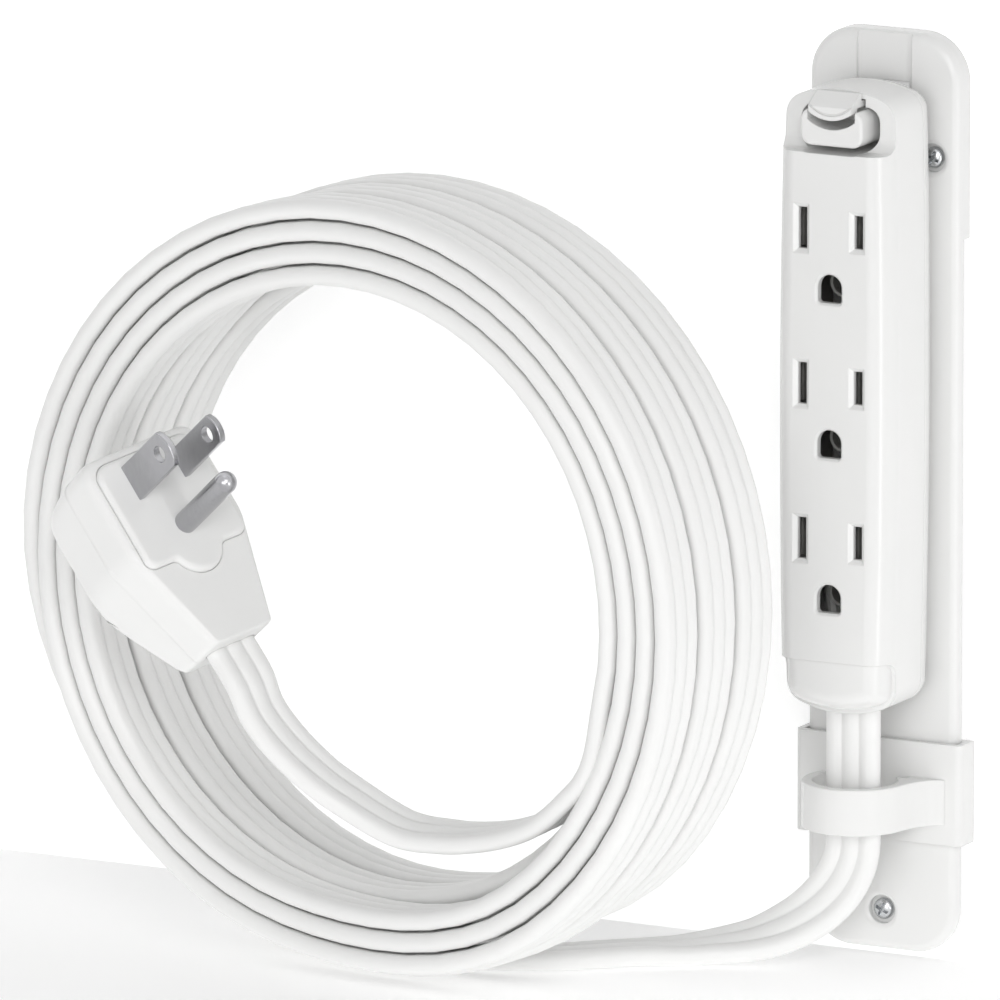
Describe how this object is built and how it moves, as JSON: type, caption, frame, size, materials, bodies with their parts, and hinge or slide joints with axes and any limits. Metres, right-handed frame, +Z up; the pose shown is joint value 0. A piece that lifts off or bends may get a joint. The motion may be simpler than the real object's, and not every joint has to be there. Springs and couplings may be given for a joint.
{
  "type": "extension cord",
  "caption": "Wall-mounted power strip on a clip-on bracket with a coiled flat cord, a sliding cord clip and an angled grounded plug.",
  "frame": {"origin": "centre of the wall bracket's back face", "axes": "+Z up along the bracket, +X to the right seen from the room, +Y into the wall, so the room is on the -Y side"},
  "size_m": [0.1849, 0.1217, 0.1939],
  "materials": {
    "white_abs": "injection moulded, polished tool",
    "white_vinyl": "overmoulded flexible vinyl, soft satin",
    "white_pvc": "extruded three-lobe jacket, satin",
    "grey_nylon": "moulded, as made",
    "zinc_screw": "zinc plated",
    "nickel_brass": "stamped and nickel plated",
    "brass_strip": "stamped and folded strip",
    "white_insulation": "extruded",
    "black_insulation": "extruded",
    "green_insulation": "extruded"
  },
  "bodies": {
    "bracket": {"wall_bracket": "white_abs", "wall_screws": "zinc_screw", "strip_front_cover": "white_abs", "strip_back_cover": "white_abs", "strip_screws": "zinc_screw", "neutral_contacts": "brass_strip", "line_contacts": "brass_strip", "earth_contacts": "brass_strip", "neutral_wire": "white_insulation", "line_wire": "black_insulation", "earth_wire": "green_insulation", "strip_cord_end": "white_pvc", "cord_grip": "grey_nylon", "cord_run": "white_pvc", "cord_coil": "white_pvc", "cord_tail": "white_pvc", "plug_body": "white_vinyl", "plug_face": "white_abs", "plug_neutral_blade": "nickel_brass", "plug_line_blade": "nickel_brass", "plug_earth_pin": "nickel_brass", "plug_neutral_wire": "white_insulation", "plug_line_wire": "black_insulation", "plug_earth_wire": "green_insulation"},
    "release_tab": {"release_tab": "white_abs"},
    "cord_clip": {"cord_clip": "white_abs"}
  },
  "joints": [
    {"name": "release_tab_hinge", "type": "hinge", "parent": "bracket", "child": "release_tab", "pos_m": [0, -0.007, 0.08455], "axis": [1, 0, 0], "range_deg": [0, 4.2], "stiffness_Nm_per_rad": 1.5, "springref_deg": -0.57},
    {"name": "cord_clip_slide", "type": "slide", "parent": "bracket", "child": "cord_clip", "axis": [0, 0, 1], "range_m": [-0.004, 0.008]}
  ]
}
